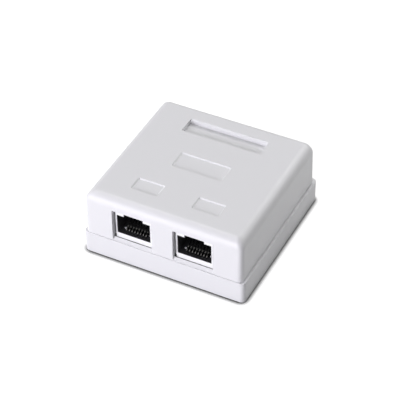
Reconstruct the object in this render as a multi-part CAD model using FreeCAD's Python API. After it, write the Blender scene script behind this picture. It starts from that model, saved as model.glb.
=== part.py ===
"""Two-port surface mount jack box: a screw-down base tray, a lift-off cover with
two front windows, and one circuit board that carries both modular jacks and their
punch-down blocks.

Millimetres. X runs along the front, Y from the front to the back, Z up.
The origin is at the middle of the base's underside.
"""
import FreeCAD, Part
import math
import os

Vec = FreeCAD.Vector
PARTS_FOLDER = "parts"

# ---------------------------------------------------------------- base tray
base_width = 58.0
base_depth = 57.0
base_wall = 2.0
base_floor = 1.8
base_corner_radius = 1.6
base_ledge_round = 0.2        # upper outer edge
base_foot_chamfer = 0.3

lip_thickness = 1.1           # upright lip inside the cover's side and back walls
lip_height = 2.2              # above the seam
lip_root = 3.0                # below the seam, where the lip joins the wall
lip_clearance = 0.15
lip_corner_gap = 4.0          # left free at each corner
bead_radius = 0.45            # snap bead along the lip
bead_length = 8.0
bead_rise = 1.2               # bead centre above the seam
bead_offset = 12.0            # each side of the middle, along Y
bead_clearance = 0.1

entry_width = 12.0            # cable entry in the back wall
entry_lip_gap = 2.0           # lip cut back beside the entry
fixing_spacing = 40.0         # wall screw holes, along X
fixing_y = 17.0
fixing_hole_radius = 2.1
fixing_hole_straight = 1.6    # straight wall under the countersink
fixing_head_radius = 3.9
fixing_ring_wall = 0.8        # raised ring round the countersink
fixing_ring_height = 3.2
tie_bridge_width = 7.0        # cable tie anchor
tie_bridge_depth = 4.4
tie_bridge_height = 2.6
tie_slot_width = 2.6
tie_slot_height = 1.3
tie_bridge_y = 17.0

# ---------------------------------------------------------------- cover
total_height = 25.0
cover_wall = 1.7
cover_top = 2.0
cover_side_inset = 0.75       # width of the base ledge at each side
cover_back_inset = 1.2
cover_front_inset = 0.05
side_draft = 0.1              # lean of each wall over its height
front_draft = 0.35
back_draft = 0.6
cover_corner_radius = 1.8
cover_edge_round = 2.0        # back top edge
cover_side_round = 3.4        # side top edges
cover_front_round = 3.5       # softer front top edge
cover_foot_round = 0.2        # lower outer edge, along the seam
cover_inner_round = 0.8
seam_gap = 0.16
window_gap = 0.75             # beside each jack nose
window_head_gap = 0.15        # above each jack nose
window_edge_round = 0.25
sill_gap = 0.45               # window sill to the jack's face
sill_front_height = 0.3       # sill above the cover's lower edge
sill_back_height = 1.15

label_slot_width = 28.8       # deep slot for a paper label
label_slot_length = 6.4
label_slot_y = 16.8
label_slot_depth = 1.7
label_slot_floor = 1.0        # wall left under the slot
label_slot_pad_margin = 1.2
label_slot_slope = 0.45       # slope along the slot's back rim
centre_recess_width = 17.6    # shallow marking fields
centre_recess_length = 6.75
centre_recess_y = -0.3
port_recess_width = 9.0
port_recess_length = 5.0
port_recess_y = -16.8
recess_depth = 0.4
recess_slope = 0.35           # sloping rim round each field
recess_corner_radius = 0.3

hold_rib_thickness = 1.2      # ribs that keep the jacks down on the board
hold_rib_length = 9.0
hold_rib_clearance = 0.25

# ---------------------------------------------------------------- circuit board
board_sink = 0.45             # board underside below the seam
board_thickness = 1.6
board_side_gap = 0.9          # to the base's side lip
board_front_gap = 0.6         # behind the base's front wall
board_depth = 34.9
board_corner_radius = 0.8
board_screw_margin_x = 2.6    # screw centre from the board's side edge
board_front_screw_margin = 5.9
board_rear_screw_margin = 3.0
boss_radius = 2.6
screw_radius = 1.1
screw_length = 6.0
screw_head_radius = 1.9
screw_head_height = 1.4
screw_recess_width = 0.5
screw_recess_span = 2.2
screw_recess_depth = 0.8
screw_thread_clearance = 0.05
screw_board_clearance = 0.2
boss_tip_space = 0.6          # free depth under the screw's tip
board_ledge_width = 8.0       # ledge under the board's front edge
board_ledge_depth = 1.6

# ---------------------------------------------------------------- modular jack
port_spacing = 21.8           # between the middles of the two ports
jack_headroom = 1.4           # jack body to the cover's ceiling
jack_setback = 1.4            # jack face behind the cover's front
opening_width = 11.66
opening_height = 7.1
opening_rise = 2.13           # opening's floor above the board
notch_width = 6.6             # for the plug's latch, above the opening
notch_height = 1.4
shell_lip = 0.6               # thickness of the white face
nose_wall = 0.57              # from the opening's side to the nose's outside
nose_head = 0.75              # from the notch's top to the nose's outside
nose_depth = 1.05             # the wider body starts just behind the cover's wall
body_side_wall = 2.07         # from the opening's side to the shell's outside
body_head = 1.47              # from the notch's top to the shell's outside
body_length = 17.5            # face to the shell's back
shell_wall = 0.85
shell_shoulder = 0.6
shell_floor_length = 8.0      # the shell is open below behind this
core_clearance = 0.05
cavity_depth = 11.5           # face to the core's rear wall
core_length = 16.5            # face to the core's back
core_roof = 0.4               # over the notch
core_rim = 0.15               # black rim round the opening, through the white face
core_rim_setback = 0.05       # behind the white face
peg_radius = 0.4              # shell pegs that come up through the core's floor
peg_spacing = 9.0
peg_y = 2.8                   # behind the face
peg_rise = 0.12               # above the opening's floor

# ---------------------------------------------------------------- contact wires
contact_count = 8
contact_pitch = 1.02
wire_radius = 0.225
wire_bend_radius = 0.9        # front bend
wire_bend_y = 2.45            # bend's centre behind the face
wire_arm_angle = 25.0
wire_arm_end = 12.4           # arm's tip behind the face
wire_run_drop = 0.88          # lower run's centre below the opening's floor
wire_slot_clearance = 0.08    # each side of a wire in its slot
wire_slot_front = 1.1         # comb slots start behind the face
wire_slot_back = 4.5
comb_slot_depth = 1.8         # slots in the core's rear wall
comb_slot_head = 0.5          # wall left over those slots
tail_front_y = 12.0           # solder tails behind the face
tail_row_pitch = 2.54
tail_bend_radius = 0.5
tail_length = 0.8             # below the board
board_hole_clearance = 0.15

# ---------------------------------------------------------------- punch-down blocks
idc_pitch = 2.2
idc_depth = 7.0
idc_height = 10.0
idc_end_wall = 0.9
idc_gap_y = 3.5               # behind the jack shell
idc_slot_width = 0.8
idc_slot_depth = 5.0
idc_mouth_width = 1.5
idc_mouth_depth = 0.9
idc_edge_chamfer = 0.5
blade_width = 1.7
blade_thickness = 0.4
blade_top_sink = 1.6          # below the block's top
blade_slot_width = 0.3
blade_slot_depth = 3.6
blade_mouth_width = 0.9
blade_mouth_depth = 0.8
blade_clearance = 0.04
pin_width = 0.5
pin_length = 0.8              # below the board

# ---------------------------------------------------------------- derived places
half_width = base_width / 2
half_depth = base_depth / 2
cover_front_y = -half_depth + cover_front_inset
cover_back_y = half_depth - cover_back_inset
cover_side_x = half_width - cover_side_inset
cover_inner_x = cover_side_x - cover_wall
cover_inner_back_y = cover_back_y - cover_wall
lip_outer_x = cover_inner_x - lip_clearance
lip_outer_y = cover_inner_back_y - lip_clearance

# heights hang from the cover's ceiling: jacks, then the board, then the seam
ceiling_z = total_height - cover_top
body_top_z = ceiling_z - jack_headroom
notch_top_z = body_top_z - body_head
nose_top_z = notch_top_z + nose_head
opening_top_z = notch_top_z - notch_height
opening_z = opening_top_z - opening_height
board_top_z = opening_z - opening_rise
board_z = board_top_z - board_thickness
seam_height = board_z + board_sink      # top of the base wall, where the cover lands
cover_bottom_z = seam_height + seam_gap
bead_z = seam_height + bead_rise

# the board fills the base's width, with its screws at the edge
board_width = 2 * (lip_outer_x - lip_thickness - board_side_gap)
board_screw_x = board_width / 2 - board_screw_margin_x
board_front_y = -half_depth + base_wall + board_front_gap
board_back_y = board_front_y + board_depth

face_y = cover_front_y + jack_setback
opening_half = opening_width / 2
notch_half = notch_width / 2
nose_half = opening_half + nose_wall
body_half = opening_half + body_side_wall
pocket_half = body_half - shell_wall
core_half = pocket_half - core_clearance
core_floor_z = board_top_z + shell_wall + core_clearance
core_top_z = notch_top_z + core_roof
window_half = nose_half + window_gap
window_top_z = nose_top_z + window_head_gap
sill_back_y = face_y - sill_gap

wire_run_z = opening_z - wire_run_drop
wire_slot_half = wire_radius + wire_slot_clearance
idc_front_y = face_y + body_length + idc_gap_y
idc_back_y = idc_front_y + idc_depth
idc_top_z = board_top_z + idc_height
idc_half = contact_count * idc_pitch / 2 + idc_end_wall
blade_y = (idc_front_y + idc_back_y) / 2

SIDES = {"left": -port_spacing / 2, "right": port_spacing / 2}


# ---------------------------------------------------------------- small helpers
def box(x0, x1, y0, y1, z0, z1):
    return Part.makeBox(x1 - x0, y1 - y0, z1 - z0, Vec(x0, y0, z0))


def block(x, half, y0, y1, z0, z1):
    """A box that is centred on x."""
    return box(x - half, x + half, y0, y1, z0, z1)


def post(x, y, z0, z1, radius):
    return Part.makeCylinder(radius, z1 - z0, Vec(x, y, z0))


def prism(points, direction):
    """A closed outline of points pushed along a vector."""
    outline = Part.makePolygon(points + [points[0]])
    return Part.Face(outline).extrude(direction)


def is_upright(edge):
    low, high = edge.BoundBox.ZMin, edge.BoundBox.ZMax
    return edge.Length - (high - low) < 0.05 * edge.Length


def upright_edges(shape):
    return [edge for edge in shape.Edges if is_upright(edge)]


def level_edges(shape, z):
    """Edges that lie flat at height z."""
    return [e for e in shape.Edges if abs(e.BoundBox.ZMin - z) + abs(e.BoundBox.ZMax - z) < 1e-4]


def rounded_field(x, y, width, length, z0, z1, radius):
    """A plate with rounded upright corners."""
    plate = block(x, width / 2, y - length / 2, y + length / 2, z0, z1)
    return plate.makeFillet(radius, upright_edges(plate))


def rounded_by_edge(shape, radius_of):
    """Rounds every edge for which radius_of(edge) gives a radius."""
    document = FreeCAD.newDocument("rounding")
    sharp = document.addObject("Part::Feature", "sharp")
    sharp.Shape = shape
    rounded = document.addObject("Part::Fillet", "rounded")
    rounded.Base = sharp
    radii = [(number, radius_of(edge)) for number, edge in enumerate(shape.Edges, 1)]
    rounded.Edges = [(number, radius, radius) for number, radius in radii if radius]
    document.recompute()
    result = rounded.Shape.copy()
    FreeCAD.closeDocument(document.Name)
    return result


def save(name, shape):
    if not shape.isValid():
        raise ValueError(name + " is not a valid solid")
    shape.exportStep(os.path.join(PARTS_FOLDER, name + ".step"))
    print(f"{name:24s} solids {len(shape.Solids)}  volume {shape.Volume:9.2f} mm3")


# ---------------------------------------------------------------- base
def base_shell():
    outer = box(-half_width, half_width, -half_depth, half_depth, 0, seam_height)
    outer = outer.makeFillet(base_corner_radius, upright_edges(outer))
    outer = outer.makeFillet(base_ledge_round, level_edges(outer, seam_height))
    outer = outer.makeChamfer(base_foot_chamfer, level_edges(outer, 0))
    inner_x, inner_y = half_width - base_wall, half_depth - base_wall
    return outer.cut(box(-inner_x, inner_x, -inner_y, inner_y, base_floor, total_height))


def lip_bar(x0, x1, y0, y1, root_x0, root_x1, root_y0, root_y1):
    upper = box(x0, x1, y0, y1, seam_height - lip_root, seam_height + lip_height)
    root = box(root_x0, root_x1, root_y0, root_y1, seam_height - lip_root, seam_height)
    return upper.fuse(root)


def side_lip(side):
    """Lip and snap beads along one side; side is -1 or 1."""
    front_y = -half_depth + base_wall + lip_corner_gap
    back_y = lip_outer_y - lip_corner_gap
    x0, x1 = sorted((side * lip_outer_x, side * (lip_outer_x - lip_thickness)))
    root = sorted((side * (lip_outer_x - lip_thickness), side * (half_width - base_wall)))
    bar = lip_bar(x0, x1, front_y, back_y, root[0], root[1], front_y, back_y)
    for bead_y in (-bead_offset, bead_offset):
        start = Vec(side * lip_outer_x, bead_y - bead_length / 2, bead_z)
        bar = bar.fuse(Part.makeCylinder(bead_radius, bead_length, start, Vec(0, 1, 0)))
    return bar


def back_lip(side):
    """Lip along one half of the back wall."""
    near, far = entry_width / 2 + entry_lip_gap, lip_outer_x - lip_corner_gap
    x0, x1 = sorted((side * near, side * far))
    y0 = lip_outer_y - lip_thickness
    return lip_bar(x0, x1, y0, lip_outer_y, x0, x1, y0, half_depth - base_wall)


def board_screw_places():
    front = board_front_y + board_front_screw_margin
    rear = board_back_y - board_rear_screw_margin
    return [(x, y) for y in (front, rear) for x in (-board_screw_x, board_screw_x)]


def board_boss(x, y):
    pilot = screw_radius + screw_thread_clearance
    pilot_depth = screw_length - board_thickness + boss_tip_space
    column = post(x, y, base_floor / 2, board_z, boss_radius)
    return column, post(x, y, board_z - pilot_depth, board_z, pilot)


def board_ledge(x):
    front = -half_depth + base_wall / 2
    back = board_front_y + board_ledge_depth
    return block(x, board_ledge_width / 2, front, back, base_floor / 2, board_z)


def fixing_hole(x):
    ring_radius = fixing_head_radius + fixing_ring_wall
    ring = post(x, fixing_y, 0, fixing_ring_height, ring_radius)
    hole = post(x, fixing_y, 0, fixing_ring_height, fixing_hole_radius)
    sink_depth = fixing_ring_height - fixing_hole_straight
    sink = Part.makeCone(
        fixing_hole_radius, fixing_head_radius, sink_depth,
        Vec(x, fixing_y, fixing_hole_straight))
    return ring, hole.fuse(sink)


def tie_bridge():
    y0, y1 = tie_bridge_y - tie_bridge_depth / 2, tie_bridge_y + tie_bridge_depth / 2
    top = base_floor + tie_bridge_height
    arch = block(0, tie_bridge_width / 2, y0, y1, base_floor / 2, top)
    arch = arch.makeFillet(base_ledge_round, level_edges(arch, top))
    slot0, slot1 = tie_bridge_y - tie_slot_width / 2, tie_bridge_y + tie_slot_width / 2
    slot = block(0, tie_bridge_width, slot0, slot1, base_floor, base_floor + tie_slot_height)
    return arch.cut(slot)


def make_base():
    shell = base_shell()
    additions = [side_lip(-1), side_lip(1), back_lip(-1), back_lip(1), tie_bridge()]
    cuts = []
    for x, y in board_screw_places():
        column, pilot = board_boss(x, y)
        additions.append(column)
        cuts.append(pilot)
    for x in SIDES.values():
        additions.append(board_ledge(x))
    for x in (-fixing_spacing / 2, fixing_spacing / 2):
        ring, hole = fixing_hole(x)
        additions.append(ring)
        cuts.append(hole)
    cuts.append(block(0, entry_width / 2, half_depth - base_wall - lip_root,
                      base_depth, base_floor, seam_height + lip_height))
    tray = shell.multiFuse(additions)
    return tray.cut(cuts).removeSplitter()


# ---------------------------------------------------------------- cover
def cover_outer():
    """Leaning walls, rounded most along the front top edge."""
    top_x = cover_side_x - side_draft
    drafted = Part.makeWedge(
        -cover_side_x, cover_bottom_z, -cover_back_y,
        back_draft - cover_back_y, -top_x,
        cover_side_x, total_height, -cover_front_y,
        -cover_front_y - front_draft, top_x)
    drafted.rotate(Vec(0, 0, 0), Vec(1, 0, 0), 90)

    def radius_of(edge):
        middle = edge.CenterOfMass
        if edge.BoundBox.ZMax - edge.BoundBox.ZMin > total_height / 4:
            return cover_corner_radius
        if middle.z < total_height - 1e-3:
            return cover_foot_round
        if edge.BoundBox.XLength < cover_side_x:
            return cover_side_round
        return cover_front_round if middle.y < 0 else cover_edge_round

    return rounded_by_edge(drafted, radius_of)


def cover_cavity():
    front_y = cover_front_y + cover_wall
    cavity = box(-cover_inner_x, cover_inner_x, front_y, cover_inner_back_y,
                 seam_height - lip_height, ceiling_z)
    rounded = upright_edges(cavity) + level_edges(cavity, ceiling_z)
    return cavity.makeFillet(cover_inner_round, rounded)


def window(x):
    """Front window, open at the cover's lower edge."""
    opening = block(x, window_half, -base_depth, cover_front_y + 2 * cover_wall,
                    seam_height - lip_height, window_top_z)
    return opening.makeFillet(window_edge_round, [
        e for e in level_edges(opening, window_top_z) if e.BoundBox.XLength < 1e-4])


def window_sill(x):
    """Sloping bar that closes the window below the jack's face."""
    front_z = cover_bottom_z + sill_front_height
    back_z = cover_bottom_z + sill_back_height
    start_x = x - window_half
    profile = [Vec(start_x, cover_front_y, cover_bottom_z), Vec(start_x, cover_front_y, front_z),
               Vec(start_x, sill_back_y, back_z), Vec(start_x, sill_back_y, cover_bottom_z)]
    bar = prism(profile, Vec(2 * window_half, 0, 0))
    foot = [e for e in level_edges(bar, cover_bottom_z)
            if abs(e.CenterOfMass.y - cover_front_y) < 1e-4]
    return bar.makeFillet(cover_foot_round, foot)


def bead_channel(side, bead_y):
    """Relief in the cover's wall that a snap bead runs up and rests in."""
    half = bead_length / 2 + bead_clearance
    radius = bead_radius + bead_clearance
    start = Vec(side * lip_outer_x, bead_y - half, bead_z)
    pocket = Part.makeCylinder(radius, 2 * half, start, Vec(0, 1, 0))
    x0, x1 = sorted((side * (cover_inner_x - cover_wall), side * (lip_outer_x + radius)))
    run = box(x0, x1, bead_y - half, bead_y + half, seam_height - lip_height, bead_z)
    return pocket.fuse(run)


def hold_rib(x):
    back_y = face_y + body_length
    return block(x, hold_rib_thickness / 2, back_y - hold_rib_length, back_y,
                 body_top_z + hold_rib_clearance, total_height - cover_top / 2)


def label_slot():
    """Deep slot whose back rim slopes."""
    floor_z = total_height - label_slot_depth
    well = rounded_field(0, label_slot_y, label_slot_width, label_slot_length,
                         floor_z, total_height + 1, recess_corner_radius)
    start_x = -label_slot_width / 2 + recess_corner_radius
    back_y = label_slot_y + label_slot_length / 2
    slope = prism([Vec(start_x, back_y, total_height - label_slot_slope),
                   Vec(start_x, back_y + label_slot_slope, total_height),
                   Vec(start_x, back_y, total_height)], Vec(-2 * start_x, 0, 0))
    return well.fuse(slope)


def label_slot_pad():
    """Thicker ceiling under the label slot."""
    width = label_slot_width + 2 * label_slot_pad_margin
    length = label_slot_length + 2 * label_slot_pad_margin
    low = total_height - label_slot_depth - label_slot_floor
    return rounded_field(0, label_slot_y, width, length, low,
                         total_height - cover_top / 2, recess_corner_radius)


def marking_field(x, y, width, length):
    """Shallow field whose rim slopes all round."""
    rim_z = total_height - recess_slope
    well = rounded_field(x, y, width, length, total_height - recess_depth,
                         total_height + 1, recess_corner_radius)
    rim = rounded_field(x, y, width + 2 * recess_slope, length + 2 * recess_slope,
                        rim_z, total_height + 1, recess_corner_radius + recess_slope)
    return well.fuse(rim.makeChamfer(recess_slope, level_edges(rim, rim_z)))


def marking_fields():
    fields = [marking_field(0, centre_recess_y, centre_recess_width, centre_recess_length)]
    for x in SIDES.values():
        fields.append(marking_field(x, port_recess_y, port_recess_width, port_recess_length))
    return fields


def make_cover():
    outer = cover_outer()
    shell = outer.cut(cover_cavity())
    shell = shell.multiFuse([label_slot_pad()] + [hold_rib(x) for x in SIDES.values()])
    cuts = [window(x) for x in SIDES.values()] + [label_slot()] + marking_fields()
    for side in (-1, 1):
        for bead_y in (-bead_offset, bead_offset):
            cuts.append(bead_channel(side, bead_y))
    sills = [window_sill(x) for x in SIDES.values()]
    return shell.cut(cuts).multiFuse(sills).removeSplitter()


# ---------------------------------------------------------------- circuit board
def tail_y(number):
    """Solder tails stand in two staggered rows."""
    return face_y + tail_front_y + (number % 2) * tail_row_pitch


def contact_x(centre, number):
    return centre + (number - (contact_count - 1) / 2) * contact_pitch


def blade_x(centre, number):
    return centre + (number - (contact_count - 1) / 2) * idc_pitch


def make_board():
    board = box(-board_width / 2, board_width / 2, board_front_y, board_back_y,
                board_z, board_top_z)
    board = board.makeFillet(board_corner_radius, upright_edges(board))
    holes = []
    for x, y in board_screw_places():
        holes.append(post(x, y, board_z, board_top_z, screw_radius + screw_board_clearance))
    pin_reach = math.hypot(pin_width, blade_thickness) / 2 + board_hole_clearance
    for centre in SIDES.values():
        for number in range(contact_count):
            holes.append(post(contact_x(centre, number), tail_y(number), board_z,
                              board_top_z, wire_radius + board_hole_clearance))
        for number in range(contact_count):
            holes.append(post(blade_x(centre, number), blade_y, board_z, board_top_z,
                              pin_reach))
    return board.cut(holes)


def make_board_screw(x, y):
    """Pan-head screw with a cross recess."""
    head_top = board_top_z + screw_head_height
    head = post(x, y, board_top_z, head_top, screw_head_radius)
    head = head.makeFillet(screw_head_height / 2, level_edges(head, head_top))
    tip_z = board_top_z - screw_length
    shank = post(x, y, tip_z, board_top_z, screw_radius)
    shank = shank.makeChamfer(screw_radius / 2, level_edges(shank, tip_z))
    low, high = head_top - screw_recess_depth, head_top + 1
    half, span = screw_recess_width / 2, screw_recess_span / 2
    cross = block(x, half, y - span, y + span, low, high)
    cross = cross.fuse(block(x, span, y - half, y + half, low, high))
    return head.fuse(shank).cut(cross).removeSplitter()


# ---------------------------------------------------------------- modular jack
def plug_opening(x, y0, y1, margin=0.0):
    """The stepped opening that a modular plug and its latch go through."""
    low = opening_z - margin
    mouth = block(x, opening_half + margin, y0, y1, low, opening_top_z + margin)
    notch = block(x, notch_half + margin, y0, y1, low, notch_top_z + margin)
    return mouth.fuse(notch).removeSplitter()


def peg(x, y, radius, top_z):
    column = post(x, y, board_top_z + shell_wall / 2, top_z, radius)
    return column.makeFillet(peg_rise, level_edges(column, top_z))


def peg_places(x):
    y = face_y + peg_y
    return [(x - peg_spacing / 2, y), (x + peg_spacing / 2, y)]


def make_jack_shell(x):
    """White outer shell: narrow nose in the window, wider body behind."""
    nose_end = face_y + nose_depth
    back = face_y + body_length
    nose = block(x, nose_half, face_y, nose_end + shell_shoulder, board_top_z, nose_top_z)
    body = block(x, body_half, nose_end, back, board_top_z, body_top_z)
    pocket_y = nose_end + shell_shoulder
    lip_y = face_y + shell_lip
    pocket = block(x, pocket_half, pocket_y, back, board_top_z + shell_wall,
                   core_top_z + core_clearance)
    throat = block(x, nose_half + core_clearance, lip_y, pocket_y,
                   board_top_z + shell_wall, notch_top_z)
    underside = block(x, pocket_half, face_y + shell_floor_length, back,
                      board_top_z, board_top_z + shell_wall)
    shell = nose.fuse(body)
    face_hole = plug_opening(x, face_y, pocket_y, core_rim + core_clearance)
    shell = shell.cut([pocket, throat, underside, face_hole])
    top_z = opening_z + peg_rise
    pegs = [peg(px, py, peg_radius, top_z) for px, py in peg_places(x)]
    return shell.multiFuse(pegs).removeSplitter()


def make_jack_core(x):
    """Black insert that lines the plug cavity and guides the contact wires."""
    front = face_y + shell_lip + core_clearance
    shoulder = face_y + nose_depth + shell_shoulder + core_clearance
    back = face_y + core_length
    nose = block(x, nose_half, front, shoulder, core_floor_z, notch_top_z - core_clearance)
    body = block(x, core_half, shoulder, back, core_floor_z, core_top_z)
    rim = plug_opening(x, face_y + core_rim_setback, front + core_rim, core_rim)
    cuts = [plug_opening(x, face_y, face_y + cavity_depth)]
    cuts += [post(px, py, board_top_z, opening_z + 1, peg_radius + core_clearance)
             for px, py in peg_places(x)]
    rear_slot_y = face_y + cavity_depth
    rear_top = opening_top_z - comb_slot_head
    groove_z = wire_run_z + wire_slot_half
    for number in range(contact_count):
        wire_x = contact_x(x, number)
        cuts.append(block(wire_x, wire_slot_half, face_y + wire_slot_front,
                          face_y + wire_slot_back, core_floor_z, opening_z))
        cuts.append(block(wire_x, wire_slot_half, face_y + wire_slot_front,
                          tail_y(number) + tail_bend_radius, core_floor_z, groove_z))
        cuts.append(block(wire_x, wire_slot_half, rear_slot_y,
                          rear_slot_y + comb_slot_depth, opening_z, rear_top))
    return nose.multiFuse([body, rim]).cut(cuts).removeSplitter()


def arc_between(centre, radius, start_angle, end_angle, x):
    """Arc in the YZ plane; angles in degrees from +Y towards +Z."""
    def at(angle):
        turn = math.radians(angle)
        return Vec(x, centre[0] + radius * math.cos(turn), centre[1] + radius * math.sin(turn))
    middle = (start_angle + end_angle) / 2
    return Part.Arc(at(start_angle), at(middle), at(end_angle)).toShape(), at(end_angle)


def make_contact_wire(centre, number):
    """Solder tail, lower run, front bend and springy arm in one round wire."""
    x = contact_x(centre, number)
    tail = tail_y(number)
    foot = Vec(x, tail, board_z - tail_length)
    knee = Vec(x, tail, wire_run_z - tail_bend_radius)
    tail_centre = (tail - tail_bend_radius, wire_run_z - tail_bend_radius)
    tail_arc, run_back = arc_between(tail_centre, tail_bend_radius, 0, 90, x)
    bend_centre = (face_y + wire_bend_y, wire_run_z + wire_bend_radius)
    bend_end = 90 + wire_arm_angle
    bend_arc, arm_foot = arc_between(bend_centre, wire_bend_radius, 270, bend_end, x)
    run_front = Vec(x, bend_centre[0], wire_run_z)
    reach = face_y + wire_arm_end - arm_foot.y
    arm_tip = arm_foot + Vec(0, reach, reach * math.tan(math.radians(wire_arm_angle)))
    path = Part.Wire([
        Part.LineSegment(foot, knee).toShape(),
        tail_arc,
        Part.LineSegment(run_back, run_front).toShape(),
        bend_arc,
        Part.LineSegment(arm_foot, arm_tip).toShape(),
    ])
    section = Part.Wire(Part.Circle(foot, Vec(0, 0, 1), wire_radius).toShape())
    return path.makePipeShell([section], True, False)


# ---------------------------------------------------------------- punch-down blocks
def v_slot(x, y0, y1, top_z, width, depth, mouth_width, mouth_depth):
    """A narrow slot with a flared mouth, running along Y."""
    half, flare = width / 2, mouth_width / 2
    low, neck = top_z - depth, top_z - mouth_depth
    outline = [
        Vec(x - half, y0, low), Vec(x + half, y0, low), Vec(x + half, y0, neck),
        Vec(x + flare, y0, top_z), Vec(x - flare, y0, top_z), Vec(x - half, y0, neck),
    ]
    return prism(outline, Vec(0, y1 - y0, 0))


def make_idc_block(centre):
    body = block(centre, idc_half, idc_front_y, idc_back_y, board_top_z, idc_top_z)
    long_edges = [e for e in level_edges(body, idc_top_z) if e.BoundBox.YLength < 1e-4]
    body = body.makeChamfer(idc_edge_chamfer, long_edges)
    pocket_half = blade_width / 2 + blade_clearance
    pocket_reach = blade_thickness / 2 + blade_clearance
    cuts = []
    for number in range(contact_count):
        x = blade_x(centre, number)
        cuts.append(v_slot(x, idc_front_y, idc_back_y, idc_top_z, idc_slot_width,
                           idc_slot_depth, idc_mouth_width, idc_mouth_depth))
        cuts.append(block(x, pocket_half, blade_y - pocket_reach, blade_y + pocket_reach,
                          board_top_z, idc_top_z))
    return body.cut(cuts).removeSplitter()


def make_idc_blade(centre, number):
    """Forked blade with a solder pin through the board."""
    x = blade_x(centre, number)
    top_z = idc_top_z - blade_top_sink
    y0, y1 = blade_y - blade_thickness / 2, blade_y + blade_thickness / 2
    plate = block(x, blade_width / 2, y0, y1, board_top_z, top_z)
    pin = block(x, pin_width / 2, y0, y1, board_z - pin_length, board_top_z)
    fork = v_slot(x, y0, y1, top_z, blade_slot_width, blade_slot_depth,
                  blade_mouth_width, blade_mouth_depth)
    return plate.fuse(pin).cut(fork).removeSplitter()


# ---------------------------------------------------------------- all pieces
def main():
    os.makedirs(PARTS_FOLDER, exist_ok=True)
    save("base", make_base())
    save("cover", make_cover())
    save("circuit_board", make_board())
    for number, (x, y) in enumerate(board_screw_places(), 1):
        save(f"board_screw_{number}", make_board_screw(x, y))
    for side, x in SIDES.items():
        save(f"jack_shell_{side}", make_jack_shell(x))
        save(f"jack_core_{side}", make_jack_core(x))
        for number in range(contact_count):
            save(f"contact_wire_{side}_{number + 1}", make_contact_wire(x, number))
        save(f"idc_block_{side}", make_idc_block(x))
        for number in range(contact_count):
            save(f"idc_blade_{side}_{number + 1}", make_idc_blade(x, number))


main()
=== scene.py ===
"""Looks for the two-port surface mount jack box: finishes for every CAD node, small
pieces that the solids leave out, a pale floor, soft studio light and the camera.

Metres. X runs along the front, Y from the front to the back, Z up.
"""
import math

import bmesh
import bpy
from mathutils import Matrix, Vector


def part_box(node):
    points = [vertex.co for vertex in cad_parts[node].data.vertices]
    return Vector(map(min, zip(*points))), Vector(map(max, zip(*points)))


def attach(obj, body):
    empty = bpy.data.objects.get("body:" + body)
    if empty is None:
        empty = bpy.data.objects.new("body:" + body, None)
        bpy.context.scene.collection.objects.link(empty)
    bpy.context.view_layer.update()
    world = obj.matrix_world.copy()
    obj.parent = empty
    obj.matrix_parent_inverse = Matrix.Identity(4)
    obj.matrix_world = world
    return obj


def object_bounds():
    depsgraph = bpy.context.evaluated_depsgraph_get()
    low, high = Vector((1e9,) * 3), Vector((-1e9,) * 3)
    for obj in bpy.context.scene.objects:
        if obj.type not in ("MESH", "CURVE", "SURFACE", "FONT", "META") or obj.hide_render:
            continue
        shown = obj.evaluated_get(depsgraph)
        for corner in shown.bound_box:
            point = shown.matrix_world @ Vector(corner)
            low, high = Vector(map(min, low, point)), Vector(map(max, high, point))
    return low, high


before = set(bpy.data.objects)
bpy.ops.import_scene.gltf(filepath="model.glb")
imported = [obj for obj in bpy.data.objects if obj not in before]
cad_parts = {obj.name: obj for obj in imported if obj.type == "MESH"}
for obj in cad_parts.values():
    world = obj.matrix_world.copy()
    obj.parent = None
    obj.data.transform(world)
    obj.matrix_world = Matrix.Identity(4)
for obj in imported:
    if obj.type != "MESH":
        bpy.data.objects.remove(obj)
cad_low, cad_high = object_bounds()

MM = 0.001
PORT_SIDES = ("left", "right")
WAYS = 8                        # contacts in a jack, and blades in a punch-down block

# Colour strip on the back of a punch-down block
STRIP_END_MARGINS = 1.8 * MM    # both ends together
STRIP_BOTTOM = 2.2 * MM         # above the block's lowest point
STRIP_TOP = 4.6 * MM
STRIP_THICKNESS = 0.12 * MM

# Solder joints under the board
SOLDER_REACH = {"idc_blade": 0.62 * MM, "contact_wire": 0.48 * MM}
SOLDER_TIP = 0.28 * MM
SOLDER_HEIGHT = 0.7 * MM
SOLDER_FACETS = 14

# Ribs on the roof of a jack's body
RIB_OFFSETS = (-5.6 * MM, -3.2 * MM, 3.2 * MM, 5.6 * MM)    # from the jack's middle
RIB_HALF_WIDTH = 0.4 * MM
RIB_RISE = 0.35 * MM
RIB_SINK = 0.05 * MM            # into the roof, so that no gap shows
RIB_FROM_FACE = 4.6 * MM
RIB_FROM_BACK = 1.2 * MM
RIB_ROUNDING = 0.12 * MM

# Painted glint band on the contact wires: a stretch painted brighter and rougher as a stand-in
# for a second row of glints, measured back from a jack's face
GLINT_BAND_START = 2.35 * MM
GLINT_BAND_END = 2.9 * MM

# Pattern on the circuit board
TRACK_PITCH = 1.1 * MM
TRACK_HALF_WIDTH = 0.16         # as a share of the pitch
TRACK_EDGE = 0.05
TINNED_MARGIN = 0.5 * MM        # bare metal round a screw head

# Floor
FLOOR_SIZE = 3.0
FLOOR_GAP = 0.02 * MM           # between the floor and the underside
FLOOR_GREY = 0.45
FLOOR_GLOW = 0.9
PAINTED_SHADOW_REACH = 2.0 * MM        # how far the painted contact shadow under the box spreads
# darkest share of the floor's colour and glow in the painted contact shadow
PAINTED_SHADOW_DARKEST = 0.06


# ---------------------------------------------------------------- shader building
def new_group(name, inputs, outputs):
    """An empty shader group: inputs are (name, kind, default), outputs (name, kind)."""
    group = bpy.data.node_groups.new(name, "ShaderNodeTree")
    for label, kind, default in inputs:
        socket = group.interface.new_socket(label, in_out="INPUT", socket_type=kind)
        if default is not None:
            socket.default_value = default
    for label, kind in outputs:
        group.interface.new_socket(label, in_out="OUTPUT", socket_type=kind)
    entry = group.nodes.new("NodeGroupInput")
    leave = group.nodes.new("NodeGroupOutput")
    return group, entry, leave


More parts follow.
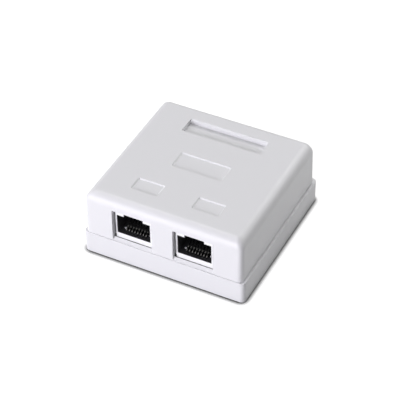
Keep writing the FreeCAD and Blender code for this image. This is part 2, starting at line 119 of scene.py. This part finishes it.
def node(tree, kind, **settings):
    made = tree.nodes.new(kind)
    for name, value in settings.items():
        setattr(made, name, value)
    return made


def feed(tree, socket, value):
    """Joins a socket to another one, or sets it to a number or an RGB colour."""
    if isinstance(value, bpy.types.NodeSocket):
        tree.links.new(value, socket)
    elif isinstance(value, tuple):
        socket.default_value = (*value, 1.0)
    else:
        socket.default_value = value


def maths(tree, operation, *values):
    made = node(tree, "ShaderNodeMath", operation=operation)
    for socket, value in zip(made.inputs, values):
        feed(tree, socket, value)
    return made.outputs[0]


def noise(tree, vector, scale, detail, roughness):
    made = node(tree, "ShaderNodeTexNoise")
    for label, value in (("Vector", vector), ("Scale", scale), ("Detail", detail),
                         ("Roughness", roughness)):
        feed(tree, made.inputs[label], value)
    return made.outputs["Fac"]


def ranged(tree, value, from_low, from_high, to_low, to_high):
    made = node(tree, "ShaderNodeMapRange")
    for label, number in (("Value", value), ("From Min", from_low), ("From Max", from_high),
                          ("To Min", to_low), ("To Max", to_high)):
        feed(tree, made.inputs[label], number)
    return made.outputs["Result"]


MIX_PLACES = {"RGBA": (6, 7, 2), "FLOAT": (2, 3, 0)}    # first, second, result


def mixed(tree, mask, first, second, kind="RGBA"):
    """Goes from first to second with mask; each is a socket, a colour or a number."""
    made = node(tree, "ShaderNodeMix", data_type=kind)
    first_place, second_place, result = MIX_PLACES[kind]
    feed(tree, made.inputs["Factor"], mask)
    feed(tree, made.inputs[first_place], first)
    feed(tree, made.inputs[second_place], second)
    return made.outputs[result]


def axes(tree, vector):
    """The X, Y and Z of a vector socket."""
    parts = node(tree, "ShaderNodeSeparateXYZ")
    tree.links.new(vector, parts.inputs[0])
    return parts.outputs


# ---------------------------------------------------------------- shared effects
def make_moulded_skin():
    """Fine spark-eroded grain over a slow flow pattern, as moulded plastic has.
    Grain Size is in millimetres, and Tone Change is how far Tone drops below 1."""
    group, entry, leave = new_group(
        "moulded_skin",
        [("Vector", "NodeSocketVector", None),
         ("Grain Size", "NodeSocketFloat", 0.25),
         ("Tone Change", "NodeSocketFloat", 0.02)],
        [("Height", "NodeSocketFloat"), ("Tone", "NodeSocketFloat"),
         ("Flow", "NodeSocketFloat")])
    vector = entry.outputs["Vector"]
    grains_per_metre = maths(group, "DIVIDE", 1.0 / MM, entry.outputs["Grain Size"])
    grain = noise(group, vector, scale=grains_per_metre, detail=3.0, roughness=0.6)
    flow = noise(group, vector, scale=55.0, detail=3.0, roughness=0.55)
    speck = noise(group, vector, scale=900.0, detail=2.0, roughness=0.5)
    tone_low = maths(group, "SUBTRACT", 1.0, entry.outputs["Tone Change"])
    blend = maths(group, "ADD", maths(group, "MULTIPLY", flow, 0.7),
                  maths(group, "MULTIPLY", speck, 0.3))
    feed(group, leave.inputs["Height"], maths(group, "MULTIPLY_ADD", flow, 0.6, grain))
    feed(group, leave.inputs["Tone"], ranged(group, blend, 0.35, 0.65, tone_low, 1.0))
    feed(group, leave.inputs["Flow"], flow)
    return group


def make_drawn_streaks():
    """Fine lines along Y, as drawn wire and rolled strip have, and a tarnish mask.
    Across and Along are counts per metre."""
    group, entry, leave = new_group(
        "drawn_streaks",
        [("Vector", "NodeSocketVector", None),
         ("Across", "NodeSocketFloat", 9000.0),
         ("Along", "NodeSocketFloat", 300.0)],
        [("Height", "NodeSocketFloat"), ("Mask", "NodeSocketFloat")])
    vector = entry.outputs["Vector"]
    counts = node(group, "ShaderNodeCombineXYZ")
    for axis, label in (("X", "Across"), ("Y", "Along"), ("Z", "Across")):
        feed(group, counts.inputs[axis], entry.outputs[label])
    stretch = node(group, "ShaderNodeVectorMath", operation="MULTIPLY")
    feed(group, stretch.inputs[0], vector)
    feed(group, stretch.inputs[1], counts.outputs[0])
    lines = noise(group, stretch.outputs[0], scale=1.0, detail=2.0, roughness=0.5)
    tarnish = noise(group, vector, scale=700.0, detail=3.0, roughness=0.6)
    feed(group, leave.inputs["Height"], lines)
    feed(group, leave.inputs["Mask"], ranged(group, tarnish, 0.35, 0.7, 0.0, 1.0))
    return group


moulded_skin = make_moulded_skin()
drawn_streaks = make_drawn_streaks()


# ---------------------------------------------------------------- finishes
def new_material(name):
    material = bpy.data.materials.new(name)
    material.use_nodes = True
    tree = material.node_tree
    shader = next(n for n in tree.nodes if n.type == "BSDF_PRINCIPLED")
    place = node(tree, "ShaderNodeTexCoord").outputs["Object"]
    return material, tree, shader, place


def bump(tree, shader, height, distance):
    made = node(tree, "ShaderNodeBump")
    made.inputs["Distance"].default_value = distance
    tree.links.new(height, made.inputs["Height"])
    tree.links.new(made.outputs["Normal"], shader.inputs["Normal"])


def effect(tree, group, place, **values):
    """Places a shared effect; an underscore in a value's name stands for a space."""
    made = node(tree, "ShaderNodeGroup", node_tree=group)
    tree.links.new(place, made.inputs["Vector"])
    for label, value in values.items():
        made.inputs[label.replace("_", " ")].default_value = value
    return made.outputs


def moulded_plastic(name, colour, rough, grain_mm, grain_depth_mm, tone_change):
    """Moulded plastic: toned colour, roughness that follows the flow, grain as bump."""
    material, tree, shader, place = new_material(name)
    skin = effect(tree, moulded_skin, place, Grain_Size=grain_mm, Tone_Change=tone_change)
    darker = tuple(c * (1 - 2 * tone_change) for c in colour)
    gloss = ranged(tree, skin["Flow"], 0.3, 0.7, rough - 0.03, rough + 0.04)
    feed(tree, shader.inputs["Base Color"], mixed(tree, skin["Tone"], darker, colour))
    feed(tree, shader.inputs["Roughness"], gloss)
    shader.inputs["IOR"].default_value = 1.5
    bump(tree, shader, skin["Height"], grain_depth_mm * MM)
    return material


def painted_glint_mask(tree, place):
    """1 on the stretch of a contact wire painted brighter and rougher as a glint, 0 elsewhere.
    """
    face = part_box("jack_shell_left")[0].y
    behind_face = maths(tree, "SUBTRACT", axes(tree, place)["Y"], face)
    return maths(tree, "MULTIPLY",
                 maths(tree, "GREATER_THAN", behind_face, GLINT_BAND_START),
                 maths(tree, "LESS_THAN", behind_face, GLINT_BAND_END))


def drawn_metal(name, clean, tarnished, rough, across, along, painted_glint=None):
    """Metal with drawn streaks and tarnish. Painted glint, if given, is the colour and the
    roughness of a band painted brighter to stand in for a glint."""
    material, tree, shader, place = new_material(name)
    streaks = effect(tree, drawn_streaks, place, Across=across, Along=along)
    colour = mixed(tree, streaks["Mask"], clean, tarnished)
    gloss = ranged(tree, streaks["Height"], 0.3, 0.7, rough - 0.05, rough + 0.1)
    # Painted highlight: a band painted brighter and rougher on the wire stands in for a glint.
    if painted_glint:
        glint_mask = painted_glint_mask(tree, place)
        colour = mixed(tree, glint_mask, colour, painted_glint[0])
        gloss = mixed(tree, glint_mask, gloss, painted_glint[1], "FLOAT")
    feed(tree, shader.inputs["Base Color"], colour)
    feed(tree, shader.inputs["Roughness"], gloss)
    shader.inputs["Metallic"].default_value = 1.0
    bump(tree, shader, streaks["Height"], 0.004 * MM)
    return material


def disc_pair_mask(tree, place, x, y, radius):
    """1 within radius of (x, y) and of its twin at (-x, y), 0 elsewhere."""
    parts = axes(tree, place)
    across = maths(tree, "SUBTRACT", maths(tree, "ABSOLUTE", parts["X"]), x)
    along = maths(tree, "SUBTRACT", parts["Y"], y)
    squares = maths(tree, "ADD", maths(tree, "MULTIPLY", across, across),
                    maths(tree, "MULTIPLY", along, along))
    return maths(tree, "LESS_THAN", maths(tree, "SQRT", squares), radius)


def track_mask(tree, place):
    """1 on the copper tracks, which run from the front to the back, 0 between them."""
    phase = maths(tree, "FRACT", maths(tree, "DIVIDE", axes(tree, place)["X"], TRACK_PITCH))
    off_centre = maths(tree, "ABSOLUTE", maths(tree, "SUBTRACT", phase, 0.5))
    return ranged(tree, off_centre, TRACK_HALF_WIDTH, TRACK_HALF_WIDTH + TRACK_EDGE, 1.0, 0.0)


def tinned_mask(tree, place):
    """1 on the bare discs round the four board screws, 0 elsewhere."""
    discs = []
    for screw in ("board_screw_1", "board_screw_3"):
        low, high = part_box(screw)
        middle = (low + high) / 2
        head = (high.x - low.x) / 2
        discs.append(disc_pair_mask(tree, place, abs(middle.x), middle.y,
                                    head + TINNED_MARGIN))
    return maths(tree, "MAXIMUM", *discs)


def solder_mask(name):
    """Green lacquer over copper tracks, tinned discs round the screws and bare laminate
    on the board's edges."""
    material, tree, shader, place = new_material(name)
    skin = effect(tree, moulded_skin, place, Grain_Size=0.3, Tone_Change=0.06)
    track = track_mask(tree, place)
    tinned = tinned_mask(tree, place)
    normal = place.node.outputs["Normal"]
    upright = maths(tree, "LESS_THAN", maths(tree, "ABSOLUTE", axes(tree, normal)["Z"]), 0.5)
    lacquer = mixed(tree, skin["Tone"], (0.008, 0.085, 0.035), (0.012, 0.11, 0.045))
    tracked = mixed(tree, track, lacquer, (0.03, 0.19, 0.075))
    edged = mixed(tree, upright, tracked, (0.34, 0.335, 0.27))
    feed(tree, shader.inputs["Base Color"], mixed(tree, tinned, edged, (0.62, 0.62, 0.60)))
    feed(tree, shader.inputs["Metallic"], tinned)
    feed(tree, shader.inputs["Roughness"], ranged(tree, tinned, 0.0, 1.0, 0.22, 0.35))
    shader.inputs["Coat Weight"].default_value = 0.3
    shader.inputs["Coat Roughness"].default_value = 0.15
    relief = maths(tree, "ADD", track, maths(tree, "MULTIPLY", skin["Height"], 0.1))
    bump(tree, shader, relief, 0.03 * MM)
    return material


def printed_strip(name, colour):
    """Printed colour on a matt label."""
    return moulded_plastic(name, colour, rough=0.5, grain_mm=0.1, grain_depth_mm=0.001,
                           tone_change=0.02)


finishes = {
    "cover_plastic": moulded_plastic(
        "cover_white_abs", (0.80, 0.80, 0.812), rough=0.36, grain_mm=0.16,
        grain_depth_mm=0.003, tone_change=0.012),
    "base_plastic": moulded_plastic(
        "base_white_abs", (0.79, 0.79, 0.802), rough=0.38, grain_mm=0.16,
        grain_depth_mm=0.003, tone_change=0.012),
    "jack_plastic": moulded_plastic(
        "jack_white_pbt", (0.93, 0.93, 0.935), rough=0.28, grain_mm=0.12,
        grain_depth_mm=0.003, tone_change=0.01),
    "core_plastic": moulded_plastic(
        "core_black_pbt", (0.034, 0.034, 0.036), rough=0.36, grain_mm=0.12,
        grain_depth_mm=0.004, tone_change=0.05),
    "idc_plastic": moulded_plastic(
        "punch_down_ivory", (0.74, 0.73, 0.69), rough=0.40, grain_mm=0.14,
        grain_depth_mm=0.004, tone_change=0.015),
    "board_laminate": solder_mask("board_green"),
    # Contact wire: metal painted far darker than real wire, as painted shade for the arms
    # inside the dark socket, with a band painted brighter as a painted glint.
    "contact_metal": drawn_metal(
        "dimmed_wire_painted_glint", (0.072, 0.070, 0.066), (0.056, 0.055, 0.052), rough=0.26,
        across=9000.0, along=300.0, painted_glint=((0.24, 0.235, 0.22), 0.5)),
    "blade_metal": drawn_metal(
        "tinned_blade", (0.74, 0.73, 0.70), (0.62, 0.61, 0.58), rough=0.3,
        across=6000.0, along=300.0),
    "screw_steel": drawn_metal(
        "zinc_screw", (0.72, 0.73, 0.74), (0.58, 0.60, 0.62), rough=0.32,
        across=3000.0, along=3000.0),
}
solder = drawn_metal("solder", (0.70, 0.70, 0.69), (0.55, 0.55, 0.54), rough=0.22,
                     across=1500.0, along=1500.0)
pair_colours = [
    printed_strip("strip_orange", (0.80, 0.22, 0.02)),
    printed_strip("strip_green", (0.03, 0.33, 0.09)),
    printed_strip("strip_blue", (0.03, 0.13, 0.55)),
    printed_strip("strip_brown", (0.16, 0.065, 0.025)),
]
strip_white = printed_strip("strip_white", (0.82, 0.82, 0.80))

FINISH_OF_KIND = {
    "cover": "cover_plastic",
    "base": "base_plastic",
    "circuit_board": "board_laminate",
    "jack_shell": "jack_plastic",
    "jack_core": "core_plastic",
    "contact_wire": "contact_metal",
    "idc_block": "idc_plastic",
    "idc_blade": "blade_metal",
    "board_screw": "screw_steel",
}
for name, cad_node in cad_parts.items():
    kind = next(kind for kind in FINISH_OF_KIND if name.startswith(kind))
    for place in cad_node.material_slots:
        place.material = finishes[FINISH_OF_KIND[kind]]


# ---------------------------------------------------------------- small added pieces
def finished_piece(name, plate, materials):
    """A mesh object made from plate, which rides on the base."""
    mesh = bpy.data.meshes.new(name)
    bmesh.ops.recalc_face_normals(plate, faces=plate.faces)
    plate.to_mesh(mesh)
    plate.free()
    for material in materials:
        mesh.materials.append(material)
    piece = bpy.data.objects.new(name, mesh)
    bpy.context.collection.objects.link(piece)
    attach(piece, "base_unit")
    return piece


def add_block(plate, low, high, material_index=0):
    """Adds a box between two corners."""
    low, high = Vector(low), Vector(high)
    place = Matrix.Translation((low + high) / 2) @ Matrix.Diagonal((*(high - low), 1.0))
    made = bmesh.ops.create_cube(plate, size=1.0, matrix=place)["verts"]
    for face in {face for vert in made for face in vert.link_faces}:
        face.material_index = material_index


def make_colour_strip(side):
    """Wiring colour strip on the back of a punch-down block: a pair of cells per colour,
    the first of each pair half white."""
    low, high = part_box(f"idc_block_{side}")
    pitch = (high.x - low.x - STRIP_END_MARGINS) / WAYS
    bottom, top = low.z + STRIP_BOTTOM, low.z + STRIP_TOP
    split = bottom + (top - bottom) / 2
    back = high.y + STRIP_THICKNESS
    white = len(pair_colours)
    plate = bmesh.new()
    for way in range(WAYS):
        left = (low.x + high.x) / 2 + (way - WAYS / 2) * pitch
        right = left + pitch
        colour = way // 2
        if way % 2:
            add_block(plate, (left, high.y, bottom), (right, back, top), colour)
        else:
            add_block(plate, (left, high.y, bottom), (right, back, split), colour)
            add_block(plate, (left, high.y, split), (right, back, top), white)
    finished_piece(f"colour_strip_{side}", plate, [*pair_colours, strip_white])


def make_solder_joints(side):
    """Solder cones round the blade pins and wire tails, under the board."""
    board_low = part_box("circuit_board")[0].z
    plate = bmesh.new()
    for kind, reach in SOLDER_REACH.items():
        for way in range(1, WAYS + 1):
            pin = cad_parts[f"{kind}_{side}_{way}"].data
            foot = [v.co for v in pin.vertices if v.co.z < board_low]
            centre = sum(foot, Vector()) / len(foot)
            place = Matrix.Translation((centre.x, centre.y, board_low - SOLDER_HEIGHT / 2))
            bmesh.ops.create_cone(
                plate, cap_ends=True, segments=SOLDER_FACETS, radius1=reach,
                radius2=SOLDER_TIP, depth=SOLDER_HEIGHT,
                matrix=place @ Matrix.Rotation(math.pi, 4, "X"))
    piece = finished_piece(f"solder_joints_{side}", plate, [solder])
    for face in piece.data.polygons:
        face.use_smooth = abs(face.normal.z) < 0.9    # the cones' sides, not their ends


def make_jack_ribs(side):
    """Four moulded ribs on the roof of a jack's body."""
    low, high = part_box(f"jack_shell_{side}")
    middle, roof = (low.x + high.x) / 2, high.z
    plate = bmesh.new()
    for offset in RIB_OFFSETS:
        x = middle + offset
        add_block(plate, (x - RIB_HALF_WIDTH, low.y + RIB_FROM_FACE, roof - RIB_SINK),
                  (x + RIB_HALF_WIDTH, high.y - RIB_FROM_BACK, roof + RIB_RISE))
    bmesh.ops.bevel(plate, geom=plate.edges[:], offset=RIB_ROUNDING, segments=2,
                    affect="EDGES", profile=0.5, material=-1, offset_type="OFFSET")
    finished_piece(f"jack_ribs_{side}", plate, [finishes["jack_plastic"]])


for side in PORT_SIDES:
    make_colour_strip(side)
    make_solder_joints(side)
    make_jack_ribs(side)


# ---------------------------------------------------------------- floor, light, camera
def seen_rays(tree):
    """1 for what the camera sees directly, mirrored or through glass."""
    rays = node(tree, "ShaderNodeLightPath").outputs
    direct = maths(tree, "MAXIMUM", rays["Is Camera Ray"], rays["Is Glossy Ray"])
    return maths(tree, "MAXIMUM", direct, rays["Is Transmission Ray"])


def make_floor():
    """A pale floor, with its own glow for what the camera sees and a painted contact
    shadow, darker where the box stands on it."""
    mesh = bpy.data.meshes.new("floor")
    plate = bmesh.new()
    bmesh.ops.create_grid(plate, x_segments=1, y_segments=1, size=FLOOR_SIZE)
    plate.to_mesh(mesh)
    plate.free()
    floor = bpy.data.objects.new("floor", mesh)
    bpy.context.collection.objects.link(floor)
    floor.location.z = cad_low.z - FLOOR_GAP
    material = bpy.data.materials.new("pale_floor")
    material.use_nodes = True
    tree = material.node_tree
    tree.nodes.clear()
    nearness = node(tree, "ShaderNodeAmbientOcclusion", samples=16)
    nearness.inputs["Distance"].default_value = PAINTED_SHADOW_REACH
    # Painted contact shadow: the floor's colour and glow darken with ambient occlusion near
    # the box.
    painted_shadow = ranged(tree, nearness.outputs["AO"], 0.5, 0.97, PAINTED_SHADOW_DARKEST, 1.0)
    matt = node(tree, "ShaderNodeBsdfDiffuse")
    pale = (FLOOR_GREY, FLOOR_GREY, FLOOR_GREY)
    feed(tree, matt.inputs["Color"], mixed(tree, painted_shadow, (0.0, 0.0, 0.0), pale))
    glow = node(tree, "ShaderNodeEmission")
    strength = maths(tree, "MULTIPLY", painted_shadow, FLOOR_GLOW)
    feed(tree, glow.inputs["Strength"], maths(tree, "MULTIPLY", seen_rays(tree), strength))
    both = node(tree, "ShaderNodeAddShader")
    tree.links.new(matt.outputs[0], both.inputs[0])
    tree.links.new(glow.outputs[0], both.inputs[1])
    tree.links.new(both.outputs[0], node(tree, "ShaderNodeOutputMaterial").inputs[0])
    mesh.materials.append(material)


def make_world(ambient):
    """A white surround for what the camera and reflections see, plain light for the rest."""
    world = bpy.data.worlds.new("studio")
    bpy.context.scene.world = world
    world.use_nodes = True
    tree = world.node_tree
    backdrop = next(n for n in tree.nodes if n.type == "BACKGROUND")
    feed(tree, backdrop.inputs["Color"], (1.0, 1.0, 1.0))
    feed(tree, backdrop.inputs["Strength"],
         ranged(tree, seen_rays(tree), 0.0, 1.0, ambient, 1.0))


def soft_lamp(name, width, height, watts, direction, distance=0.8, colour=(1.0, 1.0, 1.0),
              lean=0.0):
    """A rectangular softbox that faces the object, turned by lean degrees in its own plane."""
    lamp = bpy.data.lights.new(name, "AREA")
    lamp.color = colour
    lamp.shape = "RECTANGLE"
    lamp.size, lamp.size_y = width, height
    lamp.energy = watts
    stand = bpy.data.objects.new(name, lamp)
    bpy.context.collection.objects.link(stand)
    heading = Vector(direction).normalized()
    stand.location = (cad_low + cad_high) / 2 + heading * distance
    facing = (-heading).to_track_quat("-Z", "Y").to_matrix()
    turned = facing @ Matrix.Rotation(math.radians(lean), 3, "Z")
    stand.rotation_euler = turned.to_euler()


def make_camera(azimuth, elevation, roll, distance, aim, lens):
    """A camera that looks at aim; the angles are in degrees and the lens in millimetres."""
    sight = bpy.data.cameras.new("camera")
    sight.lens = lens
    sight.sensor_width = 36.0
    sight.clip_start = 0.01
    sight.clip_end = 20.0
    camera = bpy.data.objects.new("camera", sight)
    bpy.context.collection.objects.link(camera)
    turn, rise = math.radians(azimuth), math.radians(elevation)
    toward = Vector((math.sin(turn) * math.cos(rise), -math.cos(turn) * math.cos(rise),
                     math.sin(rise)))
    level = (-toward).to_track_quat("-Z", "Y").to_matrix().to_4x4()
    tilt = Matrix.Rotation(math.radians(roll), 4, "Z")
    camera.matrix_world = Matrix.Translation(aim + toward * distance) @ level @ tilt
    bpy.context.scene.camera = camera


make_floor()
make_world(ambient=0.01)
soft_lamp("front_softbox", width=1.0, height=0.5, watts=8.0,
          direction=(-0.35, -0.9, 0.32), colour=(1.0, 0.985, 1.05))
soft_lamp("top_softbox", width=0.4, height=0.4, watts=1.5, direction=(-0.35, 0.35, 0.9))
soft_lamp("left_softbox", width=0.3, height=0.2, watts=0.1, direction=(-0.85, -0.1, 0.42))
soft_lamp("back_softbox", width=0.3, height=0.12, watts=0.9, direction=(0.07, 0.67, 0.72))
soft_lamp("right_softbox", width=0.6, height=0.2, watts=1.95,
          direction=(0.45, 0.666, 0.58), lean=36.0)
soft_lamp("low_fill", width=0.1, height=0.03, watts=0.010, direction=(0.62, 0.78, 0.12),
          distance=0.15)
make_camera(azimuth=27.513, elevation=41.347, roll=-0.938, distance=532.448 * MM,
            aim=Vector((-0.214, -1.330, 11.272)) * MM, lens=145.459)

bpy.context.scene.view_settings.view_transform = "Standard"
